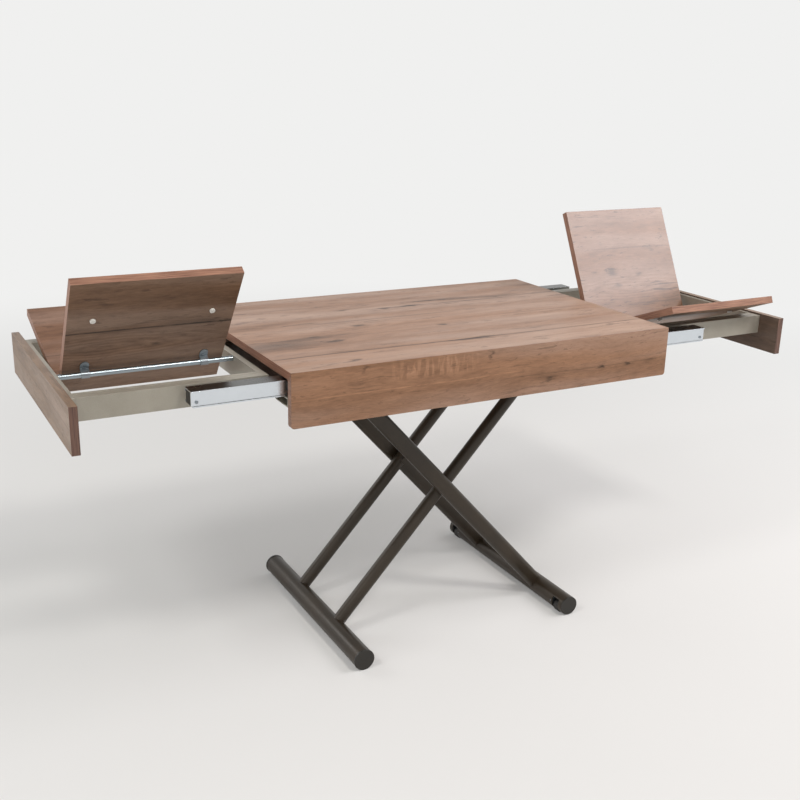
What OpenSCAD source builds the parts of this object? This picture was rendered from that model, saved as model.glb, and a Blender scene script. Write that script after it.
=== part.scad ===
// Convertible coffee and dining table.
// A box top on crossed folding legs. A frame with an end panel pulls out of
// each end and carries a pair of leaves that turn on a rod and open flat.
// Millimetres, +Z up. The rest pose has both ends out and the leaves half open.

/* [Top box] */
// Length of the fixed top
top_l = 1000; // [800:10:1300]
// Width of the fixed top
top_w = 660; // [560:5:900]
// Height of the top face above the floor as the table stands
top_h = 765; // [480:5:800]
// Thickness of the top board, the aprons and the leaves
board_t = 18; // [12:0.5:25]
// Height of the aprons with the mitred top edge
apron_h = 120; // [110:1:160]
// Radius of the lower corners of the aprons
apron_r = 7; // [2:0.5:15]

/* [End frames] */
// How far the left end panel stands out of the box
pull_left = 436; // [400:1:470]
// How far the right end panel stands out of the box
pull_right = 420; // [400:1:470]
// Thickness of the end panels
panel_t = 17; // [12:0.5:22]
// Height of the end panels
panel_h = 97; // [80:1:100]
// Gap between an end panel and each apron when it is pushed in
panel_gap = 1.5; // [0.5:0.1:4]
// Width of the side rails
rail_w = 33; // [25:1:40]
// Height of the side rails
rail_h = 48; // [40:1:50]
// Wall of the steel rails and runners
rail_wall = 2.5; // [1.5:0.1:4]
// Inset of the rails' outer faces from the long edges of the top
rail_in = 85; // [84:1:95]
// Length of the side rails
rail_l = 394; // [390:1:430]
// Drop of the rails' top face below the leaves
rail_drop = 5; // [4:0.1:8]
// Thickness of the end member behind the panel
member_t = 10; // [5:0.5:12]
// Thickness of the inner crossbar
crossbar_t = 15; // [10:0.5:18]
// Height of the inner crossbar
crossbar_h = 50; // [40:1:54]

/* [Leaves] */
// Length of each leaf along the table
leaf_l = 346; // [300:1:350]
// Set-back of the leaves from the end panel's outer face
leaf_off = 39; // [33:1:45]
// Degrees at which the left leaf A stands
left_angle = 53.9; // [0:0.1:70]
// Degrees at which the right leaf A stands
right_angle = 64; // [0:0.1:70]
// Turn of leaf B against leaf A for each degree of leaf A
fold_ratio = 1.333; // [1.32:0.001:1.36]
// Play at the joint edge of the leaves
edge_gap = 0.15; // [0.1:0.05:0.4]
// Share of a leaf's width that sets the rod's distance from the middle
rod_share = 0.32; // [0.3:0.005:0.34]
// Drop of the leaf rod's axis below the leaves
rod_drop = 12; // [11:0.5:14]
// Diameter of the leaf rod
rod_d = 12; // [8:0.5:13]
// Width of the clips on the rod
clip_w = 18; // [12:1:25]
// Distance of the clips from the leaf ends
clip_in = 45; // [30:1:70]
// Length of the clip tab past the rod
clip_tab = 27.5; // [22:0.5:35]
// Diameter of the rubber bumpers
bumper_d = 12; // [8:0.5:14]
// Height of the rubber bumpers
bumper_h = 4.5; // [3:0.1:4.5]
// Distance of the bumpers from the rails' outer faces
bumper_off = 21.5; // [13:0.5:25]
// Distance of the bumpers from the leaf ends
bumper_in = 50; // [30:1:80]
// Distance of the hinges from the leaf ends
hinge_in = 60; // [40:1:100]

/* [Slides] */
// Length of the zinc slides
slide_l = 450; // [420:1:460]
// Set-back of the left slides from the end panel's outer face
slide_lag_left = 236; // [230:1:270]
// Set-back of the right slides from the end panel's outer face
slide_lag_right = 272; // [240:1:275]
// Width of the zinc slides
slide_w = 40; // [36:1:42]
// Height of the zinc slides
slide_h = 34; // [30:1:37]
// Wall of the zinc slides
slide_wall = 2.5; // [1.5:0.1:3]
// Radius of the lower outer corner of the slides
slide_r = 6; // [1:0.5:10]
// Height of the runner tubes
runner_h = 20; // [15:1:24]
// Play between slides and glide strips
glide_gap = 0.1; // [0.05:0.05:0.4]

/* [Base] */
// Length of a leg from the crossing to the foot
leg_low = 442; // [430:1:460]
// Length of a leg from the crossing to the upper axle
leg_up = 420; // [400:1:440]
// Diameter of the round inner legs
inner_d = 32; // [28:1:36]
// Depth of the flat-oval outer legs in the folding plane
outer_d = 40; // [32:1:46]
// Width of the flat-oval outer legs
outer_w = 25; // [18:1:28]
// Wall of the leg tubes
leg_wall = 2; // [1.5:0.1:3]
// Distance of the inner legs from the middle
inner_y = 108; // [95:1:130]
// Gap between an inner and an outer leg
leg_gap = 3.5; // [2:0.1:8]
// Diameter of the pivot bolts
bolt_d = 12; // [10:0.5:14]
// Diameter of the upper axles
axle_d = 16; // [14:0.5:17]
// Height of the axle tracks
track_h = 27; // [25:0.5:28]
// Wall of the axle tracks
track_wall = 2.5; // [1.5:0.1:3]
// Distance of the axle tracks from the ends of the top
track_in = 60; // [20:5:70]

/* [Feet] */
// Half length of the feet with their caps
foot_half = 281; // [240:1:300]
// Diameter of the foot tubes
foot_d = 50; // [44:1:60]
// Wall of the foot tubes
foot_wall = 2.5; // [2:0.1:4]
// Rim of the left foot's caps above the tube
cap_rim = 1; // [0.5:0.1:3]
// Diameter of the rollers
wheel_d = 30; // [26:1:34]
// Width of the rollers
wheel_w = 20; // [12:0.5:24]
// Distance of the rollers from the ends of the foot
wheel_in = 29; // [26:1:50]
// Offset of the rollers from the foot's axis towards the middle
wheel_dx = 6.3; // [4:0.1:8]

/* [Hidden] */
$fn = 48;
eps = 0.01;

// heights
under_z = top_h - board_t;          // underside of top board and leaves
apron_z = top_h - apron_h;          // lower edge of the aprons
inner_w = top_w / 2 - board_t;      // inner face of the aprons
ext_left = top_l / 2 + pull_left;   // outer face of the left end panel
ext_right = top_l / 2 + pull_right;
rail_y = top_w / 2 - rail_in;       // outer face of the rails
rod_z = under_z - rod_drop;
rail_z = under_z - rail_drop;       // top of the side rails
mid_x = (ext_left - ext_right) / 2; // brings the whole table to its own middle

// leaves
leaf_w = top_w / 2;
rod_shift = 37.1;
rod_in = rod_share * leaf_w - rod_shift; // leaf rod from the middle
hinge_l = 24;
hinge_w = 14;
hinge_h = 11;
hinge_cover = 2;
link_r = 8;
link_t = 3;
screw_d = 7;
screw_h = 1.8;
pilot_d = 3.4;
clip_t = 2;
bumper_y = rail_y - bumper_off;
fit = 0.05;    // running fit of a shaft in its hole
clear = 0.3;   // play between curved faces that move

// slides, runners and glides
slide_y = inner_w - 10;             // outer face of the slides
slide_z = rail_z + 1.5;             // top of the slides
slide_b = slide_z - slide_h;        // bottom of the slides
slide_web = slide_y - 5;            // inner face of the slides' webs
strip_t = 2.7;
runner_top = slide_b - glide_gap - strip_t;
runner_y = rail_y + 2;              // inner face of the runners
carriage_l = 120;
disc_in = 25;                       // discs from the carriage ends
screw_x = 11.5;                     // stop screw from the slide's outer end
screw_z = 11;
stop_l = 14;                        // length of the stop block
neck_h = slide_h - 22;
lip_h = (slide_h - neck_h - 6) / 2;
stretcher_w = 49;                   // end stretchers: width, height, wall
stretcher_h = 30;
stretcher_t = 3;
stretcher_in = 37;                  // from the ends of the top
weld_gap = 0.02;
stretcher_z = runner_top - runner_h - weld_gap;
stretcher_lap = 28;                 // under each runner
stretcher_l = 2 * (runner_y + stretcher_lap);

// base
foot_r = foot_d / 2;
foot_z = foot_r + cap_rim;
axle_r = axle_d / 2;
track_z = apron_z + 3.5;            // underside of the tracks
track_w = 22;
track_l = top_l - 2 * track_in;
slider_play = 0.8;                  // above and below a slider
axle_z = track_z + track_h / 2;
leg_angle = asin((axle_z - foot_z) / (leg_low + leg_up));
pivot_z = foot_z + leg_low * sin(leg_angle);
foot_x = leg_low * cos(leg_angle);
axle_x = leg_up * cos(leg_angle);
outer_y = inner_y + inner_d / 2 + leg_gap + outer_w / 2;
outer_in = outer_y - outer_w / 2;   // inner face of the outer legs
outer_out = outer_y + outer_w / 2;
slider_r = track_h / 2 - track_wall - slider_play;
slider_w = 13.5;
slider_y = inner_w - 5.5;           // outer face of the sliders
axle_half = inner_w - 5;
wheel_r = wheel_d / 2;
wheel_y = foot_half - wheel_in;
wheel_x = foot_x - wheel_dx;
fork_t = 2;
fork_plug = 12;                     // the inner disc is a plug held by a screw
fork_screw_d = 5;
fork_gap = 3;
slot_y0 = wheel_y - wheel_w / 2 - fork_gap;   // ends of the slot round a roller
slot_y1 = wheel_y + wheel_w / 2 + fork_gap;
cap_t = 6;
cap_flush = 3;
plug_l = 12;
plug_right = min(plug_l, foot_half - cap_flush - slot_y1 - fork_t - 1);

wood = [0.56, 0.42, 0.33];
dark_wood = [0.5, 0.38, 0.3];
greige = [0.6, 0.58, 0.53];
zinc = [0.8, 0.82, 0.84];
bronze = [0.23, 0.21, 0.19];
white_rubber = [0.9, 0.89, 0.86];
black = [0.1, 0.1, 0.1];

// ---- helpers -------------------------------------------------------------

module placed() { translate([mid_x, 0, 0]) children(); }
// the right end is the left end turned half round
module at_end(right) { placed() rotate([0, 0, right ? 180 : 0]) children(); }
// a profile drawn in Y and Z, run along X
module along_x(l) { rotate([90, 0, 90]) linear_extrude(height = l) children(); }
// a profile drawn in X and Z, run along Y about the middle
module along_y(l) { rotate([90, 0, 0]) linear_extrude(height = l, center = true) children(); }
// a round bar along Y from y0 to y1
module bar_y(r, y0, y1) { translate([0, y1, 0]) rotate([90, 0, 0]) cylinder(r = r, h = y1 - y0); }
// a round bar along X from x0 to x1
module bar_x(r, x0, x1) { translate([x0, 0, 0]) rotate([0, 90, 0]) cylinder(r = r, h = x1 - x0); }
module both_sides() { children(); mirror([0, 1, 0]) children(); }
module front_side() { mirror([0, 1, 0]) children(); }

// ---- top box -------------------------------------------------------------

// the top board has mitred long edges
module top_board() {
  placed() color(wood) translate([-top_l / 2, 0, 0]) along_x(top_l)
    polygon([[-inner_w, under_z], [-top_w / 2, top_h], [top_w / 2, top_h], [inner_w, under_z]]);
}

// an apron, drawn on the +Y side, with rounded lower corners
module apron() {
  color(wood) intersection() {
    translate([-top_l / 2, 0, 0]) along_x(top_l)
      polygon([[inner_w, apron_z], [top_w / 2, apron_z], [top_w / 2, top_h], [inner_w, under_z]]);
    translate([0, top_w / 2, 0]) along_y(top_w) union() {
      translate([-top_l / 2, apron_z + apron_r]) square([top_l, apron_h]);
      translate([-top_l / 2 + apron_r, apron_z]) square([top_l - 2 * apron_r, apron_r + eps]);
      for (s = [-1, 1]) translate([s * (top_l / 2 - apron_r), apron_z + apron_r]) circle(r = apron_r);
    }
  }
}
module apron_front() { placed() front_side() apron(); }
module apron_back() { placed() apron(); }

// a runner tube on the inside of an apron, which carries the slides
module runner() {
  color(greige) translate([-top_l / 2, 0, 0]) along_x(top_l) difference() {
    translate([runner_y, runner_top - runner_h]) square([inner_w - runner_y, runner_h]);
    translate([runner_y + rail_wall, runner_top - runner_h + rail_wall])
      square([inner_w - runner_y - 2 * rail_wall, runner_h - 2 * rail_wall]);
  }
}
// an angle welded under both runners near an end of the box
module stretcher() {
  color(greige) along_y(stretcher_l) union() {
    translate([top_l / 2 - stretcher_in - stretcher_w, stretcher_z - stretcher_t]) square([stretcher_w, stretcher_t]);
    translate([top_l / 2 - stretcher_in - stretcher_t, stretcher_z - stretcher_h]) square([stretcher_t, stretcher_h]);
  }
}
module runner_frame() {
  placed() {
    both_sides() runner();
    for (a = [0, 180]) rotate([0, 0, a]) stretcher();
  }
}

// plastic strips below, beside and above the slides
module glide_strips() {
  l = top_l - 12;
  placed() color(black) both_sides() translate([-l / 2, 0, 0]) {
    along_x(l) translate([slide_y - slide_w + 4, runner_top]) square([slide_w - 8, strip_t]);
    along_x(l) translate([slide_y + glide_gap, slide_b + 8])
      square([inner_w - slide_y - glide_gap, slide_h - 16]);
    along_x(l) translate([slide_y - slide_w + 8, slide_z + glide_gap])
      square([slide_w - 16, under_z - slide_z - glide_gap]);
  }
}

// a channel for the sliders of the upper axles, open to the middle
module track() {
  color(zinc) translate([-track_l / 2, 0, 0]) along_x(track_l) difference() {
    translate([inner_w - track_w, track_z]) square([track_w, track_h]);
    translate([inner_w - track_w - 1, track_z + track_wall])
      square([track_w + 1 - track_wall, track_h - 2 * track_wall]);
  }
}
module track_cut() {
  difference() {
    track();
    for (x = track_holes()) translate([x, 0, axle_z]) bar_y(pilot_d / 2 + fit, inner_w - track_w, inner_w + 1);
  }
}
function track_holes() = [for (s = [-1, 1]) for (k = [0.17, 0.985]) s * k * track_l / 2];
module track_front() { placed() front_side() track_cut(); }
module track_back() { placed() track_cut(); }

// screws that hold the tracks to the aprons
module track_screws() {
  placed() color(zinc) both_sides() for (x = track_holes()) translate([x, 0, axle_z]) {
    bar_y(screw_d / 2, inner_w - track_wall - 1.4, inner_w - track_wall);
    bar_y(pilot_d / 2, inner_w - track_wall - 1, inner_w);
  }
}

// ---- end frames, drawn as the left one -----------------------------------

// outline of a slide or stop from the side, with its rounded lower outer corner
module slide_outline(x0, l, z0, h) {
  intersection() {
    translate([x0, z0]) square([l, h]);
    union() {
      translate([slide_r, slide_b]) square([slide_l, slide_h]);
      translate([0, slide_b + slide_r]) square([slide_l, slide_h]);
      translate([slide_r, slide_b + slide_r]) circle(r = slide_r);
    }
  }
}

// a telescopic slide, drawn on the +Y side: web, flanges and inner lips
module slide(reach) {
  translate([-reach, 0, 0]) color(zinc) difference() {
    intersection() {
      along_x(slide_l) union() {
        translate([slide_web, slide_b]) square([slide_wall, slide_h]);
        for (z = [slide_b, slide_z - slide_wall])
          translate([slide_y - slide_w, z]) square([slide_w, slide_wall]);
        for (z = [slide_b, slide_z - lip_h])
          translate([slide_y - slide_w, z]) square([slide_wall, lip_h]);
      }
      translate([0, slide_y - slide_w / 2, 0]) along_y(2 * slide_w) slide_outline(0, slide_l, slide_b, slide_h);
    }
    translate([screw_x, 0, slide_b + screw_z]) bar_y(pilot_d / 2 + fit, slide_web - 1, slide_y + 1);
  }
}
module slides(right, reach) { at_end(right) both_sides() slide(reach); }
module left_slides() { slides(false, ext_left - slide_lag_left); }
module right_slides() { slides(true, ext_right - slide_lag_right); }

// a block in the mouth of each slide, on which the carriage stops
module slide_stops(right, reach) {
  y0 = slide_y - slide_w + slide_wall;
  at_end(right) color(black) both_sides() translate([-reach, 0, 0]) difference() {
    translate([0, (y0 + slide_web) / 2, 0]) along_y(slide_web - y0)
      slide_outline(1.2, stop_l - 1.2, slide_b + slide_wall, slide_h - 2 * slide_wall);
    translate([screw_x, 0, slide_b + screw_z]) bar_y(pilot_d / 2 + fit, slide_web - 12, slide_web + 1);
  }
}
module left_slide_stops() { slide_stops(false, ext_left - slide_lag_left); }
module right_slide_stops() { slide_stops(true, ext_right - slide_lag_right); }

// the screw that holds each block
module slide_screws(right, reach) {
  at_end(right) color(zinc) both_sides() translate([screw_x - reach, 0, slide_b + screw_z]) {
    bar_y(screw_d / 2, slide_web + slide_wall, slide_web + slide_wall + screw_h);
    bar_y(pilot_d / 2, slide_web - 11, slide_web + slide_wall + eps);
  }
}
module left_slide_screws() { slide_screws(false, ext_left - slide_lag_left); }
module right_slide_screws() { slide_screws(true, ext_right - slide_lag_right); }

// the wooden panel that closes the end of the box
module end_panel(right, reach) {
  w = 2 * (inner_w - panel_gap);
  at_end(right) color(dark_wood) translate([-reach, -w / 2, under_z - 1 - panel_h])
    cube([panel_t, w, panel_h]);
}
module left_end_panel() { end_panel(false, ext_left); }
module right_end_panel() { end_panel(true, ext_right); }

// the flat member screwed to the back of the panel
module end_member(right, reach) {
  at_end(right) color(greige) translate([panel_t - reach, -rail_y, rail_z - rail_h])
    cube([member_t, 2 * rail_y, rail_h]);
}
module left_end_member() { end_member(false, ext_left); }
module right_end_member() { end_member(true, ext_right); }

// the tube that ties the rails at their inner end
module crossbar(right, reach) {
  at_end(right) color(greige)
    translate([panel_t + member_t + rail_l - crossbar_t - reach, 0, rail_z - crossbar_h]) difference() {
      translate([0, rail_w - rail_y, 0]) cube([crossbar_t, 2 * (rail_y - rail_w), crossbar_h]);
      translate([rail_wall, -rail_y, rail_wall])
        cube([crossbar_t - 2 * rail_wall, 2 * rail_y, crossbar_h - 2 * rail_wall]);
    }
}
module left_crossbar() { crossbar(false, ext_left); }
module right_crossbar() { crossbar(true, ext_right); }

// a side rail: a rectangular tube with a groove along its top
module rail(reach) {
  translate([panel_t + member_t - reach, 0, 0]) color(greige) along_x(rail_l) difference() {
    translate([rail_y - rail_w, rail_z - rail_h]) square([rail_w, rail_h]);
    translate([rail_y - rail_w + rail_wall, rail_z - rail_h + rail_wall])
      square([rail_w - 2 * rail_wall, rail_h - 2 * rail_wall]);
    translate([rail_y - rail_w + 9, rail_z - 1]) square([2.5, 2]);
  }
}
module left_rail_front() { at_end(false) front_side() rail(ext_left); }
module left_rail_back() { at_end(false) rail(ext_left); }
// turned half round, the plain one comes to the front
module right_rail_front() { at_end(true) rail(ext_right); }
module right_rail_back() { at_end(true) front_side() rail(ext_right); }

// the rod on which leaf A turns
module leaf_rod(right, reach) {
  at_end(right) color(zinc) translate([-reach, -rod_in, rod_z])
    bar_x(rod_d / 2, panel_t + member_t, panel_t + member_t + rail_l - crossbar_t);
}
module left_leaf_rod() { leaf_rod(false, ext_left); }
module right_leaf_rod() { leaf_rod(true, ext_right); }

// carriages on the rails: a bar with two discs that run in the slides
module glide_carriages(right, reach) {
  at_end(right) color(zinc) both_sides()
    translate([panel_t + member_t + rail_l - carriage_l - reach, 0, slide_b + slide_h / 2]) {
      translate([0, rail_y, -neck_h / 2]) cube([carriage_l, slide_y - slide_w + 10 - rail_y, neck_h]);
      for (x = [disc_in, carriage_l - disc_in]) translate([x, 0, 0])
        bar_y(slide_h / 2 - slide_wall - clear, slide_y - slide_w + 8, slide_y - 8);
    }
}
module left_glide_carriages() { glide_carriages(false, ext_left); }
module right_glide_carriages() { glide_carriages(true, ext_right); }

// ---- leaves, drawn flat on the left and then turned ------------------------

// carries what is drawn flat to leaf A as it stands
module leaf_a_pose(right) {
  a = right ? right_angle : left_angle;
  r = right ? ext_right : ext_left;
  at_end(right) translate([leaf_off - r, -rod_in, rod_z]) rotate([-a, 0, 0])
    translate([0, rod_in, -rod_z]) children();
}
// the same for leaf B, which also folds at the top edge between the leaves
module leaf_b_pose(right) {
  a = right ? right_angle : left_angle;
  leaf_a_pose(right) translate([0, 0, top_h]) rotate([fold_ratio * a, 0, 0])
    translate([0, 0, -top_h]) children();
}
module at_hinges() { for (x = [hinge_in, leaf_l - hinge_in]) translate([x, 0, 0]) children(); }
module at_clips() { for (x = [clip_in, leaf_l - clip_in]) translate([x, 0, 0]) children(); }
module hinge_block() {
  translate([-hinge_l / 2, edge_gap, top_h - hinge_cover - hinge_h]) cube([hinge_l, hinge_w, hinge_h]);
}
function clip_screw_y() = rod_in + rod_d / 2 + clip_t + 4;

module leaf_a(right) {
  leaf_a_pose(right) color(wood) difference() {
    translate([0, -leaf_w, under_z]) cube([leaf_l, leaf_w - edge_gap, board_t]);
    at_hinges() mirror([0, 1, 0]) hinge_block();
    at_clips() translate([0, -clip_screw_y(), under_z - 1]) cylinder(r = pilot_d / 2 + fit, h = 11);
  }
}
module left_leaf_a() { leaf_a(false); }
module right_leaf_a() { leaf_a(true); }

module leaf_b(right) {
  leaf_b_pose(right) color(wood) difference() {
    translate([0, edge_gap, under_z]) cube([leaf_l, leaf_w - edge_gap, board_t]);
    at_hinges() hinge_block();
  }
}
module left_leaf_b() { leaf_b(false); }
module right_leaf_b() { leaf_b(true); }

// hinge half in leaf A, with a round link that reaches into leaf B
module hinge_links(right) {
  leaf_a_pose(right) color(zinc) at_hinges() union() {
    mirror([0, 1, 0]) hinge_block();
    intersection() {
      translate([0, 0, top_h]) bar_x(link_r, -link_t / 2, link_t / 2);
      translate([-link_t, -link_r, top_h - link_r - 1]) cube([2 * link_t, 2 * link_r, link_r + 1 - hinge_cover]);
    }
  }
}
module left_hinge_links() { hinge_links(false); }
module right_hinge_links() { hinge_links(true); }

// hinge half in leaf B, slotted for the link
module hinge_cups(right) {
  leaf_b_pose(right) color(zinc) at_hinges() difference() {
    hinge_block();
    translate([0, 0, top_h]) bar_x(link_r + clear, -link_t / 2 - clear, link_t / 2 + clear);
  }
}
module left_hinge_cups() { hinge_cups(false); }
module right_hinge_cups() { hinge_cups(true); }

// clips: a loop round the rod, a neck and a round-ended tab screwed to leaf A
module rod_clips(right) {
  ro = rod_d / 2 + fit + clip_t;
  leaf_a_pose(right) color(zinc) at_clips() difference() {
    intersection() {
      translate([-clip_w / 2, -rod_in, rod_z]) along_x(clip_w) difference() {
        union() {
          circle(r = ro);
          translate([-ro, 0]) square([clip_t, rod_drop]);
          translate([-clip_tab, rod_drop - clip_t]) square([clip_tab - ro + clip_t, clip_t]);
        }
        circle(r = rod_d / 2 + fit);
      }
      translate([0, -rod_in, rod_z - 2 * ro]) union() {
        translate([-clip_w / 2, clip_w / 2 - clip_tab, 0]) cube([clip_w, clip_tab + ro, 4 * ro]);
        translate([0, clip_w / 2 - clip_tab, 0]) cylinder(r = clip_w / 2, h = 4 * ro);
      }
    }
    translate([0, -clip_screw_y(), under_z - clip_t - 1]) cylinder(r = pilot_d / 2 + fit, h = clip_t + 2);
  }
}
module left_rod_clips() { rod_clips(false); }
module right_rod_clips() { rod_clips(true); }

module clip_screws(right) {
  leaf_a_pose(right) color(zinc) at_clips() translate([0, -clip_screw_y(), under_z - clip_t]) {
    translate([0, 0, -screw_h]) cylinder(r = screw_d / 2, h = screw_h);
    translate([0, 0, -eps]) cylinder(r = pilot_d / 2, h = clip_t + 9);
  }
}
module left_clip_screws() { clip_screws(false); }
module right_clip_screws() { clip_screws(true); }

// bumpers that land on the rails when a leaf lies flat
module bumper_pair(s) {
  color(white_rubber) for (x = [bumper_in, leaf_l - bumper_in])
    translate([x, s * bumper_y, under_z - bumper_h]) cylinder(r = bumper_d / 2, h = bumper_h);
}
module left_bumpers_a() { leaf_a_pose(false) bumper_pair(-1); }
module left_bumpers_b() { leaf_b_pose(false) bumper_pair(1); }
module right_bumpers_a() { leaf_a_pose(true) bumper_pair(-1); }
module right_bumpers_b() { leaf_b_pose(true) bumper_pair(1); }

// ---- base ----------------------------------------------------------------

// places what is drawn along X, from the crossing to the upper axle
module outer_leg_pose() { translate([0, 0, pivot_z]) rotate([0, 180 + leg_angle, 0]) children(); }
module inner_leg_pose() { translate([0, 0, pivot_z]) rotate([0, -leg_angle, 0]) children(); }

module obround(w, d) {
  square([w, d - w], center = true);
  for (s = [-1, 1]) translate([0, s * (d - w) / 2]) circle(r = w / 2);
}

// a flat-oval leg, drawn on the +Y side, coped to the foot tube
module outer_leg() {
  color(bronze) outer_leg_pose() difference() {
    union() {
      translate([-leg_low, outer_y, 0]) along_x(leg_low + leg_up) obround(outer_w, outer_d);
      translate([leg_up, 0, 0]) bar_y(outer_d / 2, outer_in, outer_out);
    }
    translate([-leg_low - 1, outer_y, 0]) along_x(leg_low + leg_up - outer_d / 2 - 4)
      obround(outer_w - 2 * leg_wall, outer_d - 2 * leg_wall);
    translate([-leg_low, 0, 0]) bar_y(foot_r, outer_in - 1, outer_out + 1);
    translate([leg_up, 0, 0]) bar_y(axle_r + fit, outer_in - 1, outer_out + 1);
    bar_y(bolt_d / 2 + fit, outer_in - 1, outer_y);
  }
}
module outer_leg_front() { placed() front_side() outer_leg(); }
module outer_leg_back() { placed() outer_leg(); }

// a round leg, drawn on the +Y side
module inner_leg() {
  y0 = inner_y - inner_d / 2;
  y1 = inner_y + inner_d / 2;
  color(bronze) inner_leg_pose() difference() {
    union() {
      translate([0, inner_y, 0]) bar_x(inner_d / 2, -leg_low, leg_up);
      translate([leg_up, 0, 0]) bar_y(inner_d / 2 - 2, y0 + 1.5, y1 - 1.5);
    }
    translate([0, inner_y, 0]) bar_x(inner_d / 2 - leg_wall, -leg_low - 1, leg_up - inner_d / 2 - 4);
    translate([-leg_low, 0, 0]) bar_y(foot_r, y0 - 1, y1 + 1);
    translate([leg_up, 0, 0]) bar_y(axle_r + fit, y0 - 1, y1 + 1);
    bar_y(bolt_d / 2 + fit, y0 - 1, y1 + 1);
  }
}
module inner_leg_front() { placed() front_side() inner_leg(); }
module inner_leg_back() { placed() inner_leg(); }

// a pivot at each crossing: it is welded into the outer leg, and has a spacer
// and, on the inner side, a nut
module pivot_bolts() {
  y0 = inner_y - inner_d / 2;
  placed() color(zinc) both_sides() translate([0, 0, pivot_z]) {
    bar_y(bolt_d / 2, y0 - clear - 6, outer_out - leg_wall);
    bar_y(bolt_d / 2 + 6, y0 + inner_d + clear, outer_in);
    bar_y(bolt_d / 2 + 3, y0 - clear - 6, y0 - clear);
  }
}

// an upper axle; the left one has collars beside the legs that turn on it
module left_upper_axle() {
  placed() color(bronze) translate([-axle_x, 0, axle_z]) {
    bar_y(axle_r, -axle_half, axle_half);
    both_sides() {
      bar_y(axle_r + 5, outer_out + clear, outer_out + clear + 8);
      bar_y(axle_r + 5, outer_in - clear - 8, outer_in - clear);
    }
  }
}
module right_upper_axle() {
  placed() color(bronze) translate([axle_x, 0, axle_z]) {
    bar_y(axle_r, -axle_half, axle_half);
    both_sides() bar_y(axle_r + 5, inner_y + inner_d / 2, inner_y + inner_d / 2 + 8);
  }
}

// plastic sliders on the axle ends
module sliders(x) {
  placed() color(black) both_sides() translate([x, 0, axle_z]) difference() {
    bar_y(slider_r, slider_y - slider_w, slider_y);
    bar_y(axle_r, slider_y - slider_w - 1, slider_y + 1);
  }
}
module left_sliders() { sliders(-axle_x); }
module right_sliders() { sliders(axle_x); }

module foot_tube(half) {
  difference() {
    bar_y(foot_r, -half, half);
    bar_y(foot_r - foot_wall, -half - 1, half + 1);
  }
}
module left_foot() {
  placed() color(bronze) translate([-foot_x, 0, foot_z]) foot_tube(foot_half - cap_t);
}
// the right foot is slotted for its rollers
module right_foot() {
  placed() color(bronze) difference() {
    translate([foot_x, 0, foot_z]) foot_tube(foot_half - cap_flush);
    both_sides() {
      translate([wheel_x, 0, wheel_r]) bar_y(wheel_r + 1.5, slot_y0, slot_y1);
      translate([foot_x - foot_r - 1, slot_y0, wheel_r]) cube([foot_r / 2, slot_y1 - slot_y0, foot_r]);
      translate([foot_x, slot_y0 - fork_plug / 2, foot_z]) bar_x(fork_screw_d / 2 + fit, -foot_r - 1, 0);
    }
  }
}

// caps with a plug in the tube
module caps(x, r, t, plug) {
  placed() color(bronze) both_sides() translate([x, 0, foot_z]) {
    bar_y(r, foot_half - t, foot_half);
    bar_y(foot_r - foot_wall - fit, foot_half - t - plug, foot_half - t + eps);
  }
}
module left_foot_caps() { caps(-foot_x, foot_r + cap_rim, cap_t, plug_l); }
module right_foot_caps() { caps(foot_x, foot_r, cap_flush, plug_right); }

// each roller turns on a pin between a plug and a disc in the tube
module roller_axles() {
  placed() color(zinc) both_sides() {
    translate([foot_x, 0, foot_z]) {
      bar_y(foot_r - foot_wall - fit, slot_y0 - fork_plug, slot_y0);
      bar_y(foot_r - foot_wall - fit, slot_y1, slot_y1 + fork_t);
      translate([0, slot_y0 - fork_plug / 2, 0]) bar_x(fork_screw_d / 2, -foot_r + 0.6, 0);
    }
    translate([wheel_x, 0, wheel_r]) bar_y(3, slot_y0 - 1, slot_y1 + 1);
  }
}
module roller() {
  color(black) translate([wheel_x, 0, wheel_r]) difference() {
    bar_y(wheel_r, wheel_y - wheel_w / 2, wheel_y + wheel_w / 2);
    bar_y(3 + fit, wheel_y - wheel_w, wheel_y + wheel_w);
  }
}
module roller_front() { placed() front_side() roller(); }
module roller_back() { placed() roller(); }

// ---- the whole -------------------------------------------------------------

top_board();
apron_front();
apron_back();
runner_frame();
glide_strips();
track_front();
track_back();
track_screws();
left_slides();
left_slide_stops();
left_slide_screws();
left_end_panel();
left_end_member();
left_crossbar();
left_rail_front();
left_rail_back();
left_leaf_rod();
left_glide_carriages();
left_leaf_a();
left_rod_clips();
left_clip_screws();
left_bumpers_a();
left_hinge_links();
left_leaf_b();
left_hinge_cups();
left_bumpers_b();
right_slides();
right_slide_stops();
right_slide_screws();
right_end_panel();
right_end_member();
right_crossbar();
right_rail_front();
right_rail_back();
right_leaf_rod();
right_glide_carriages();
right_leaf_a();
right_rod_clips();
right_clip_screws();
right_bumpers_a();
right_hinge_links();
right_leaf_b();
right_hinge_cups();
right_bumpers_b();
left_upper_axle();
left_sliders();
outer_leg_front();
outer_leg_back();
right_foot();
right_foot_caps();
pivot_bolts();
roller_axles();
inner_leg_front();
inner_leg_back();
left_foot();
left_foot_caps();
right_upper_axle();
right_sliders();
roller_front();
roller_back();
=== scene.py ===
import bpy, bmesh, math
from mathutils import Matrix, Vector


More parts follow.
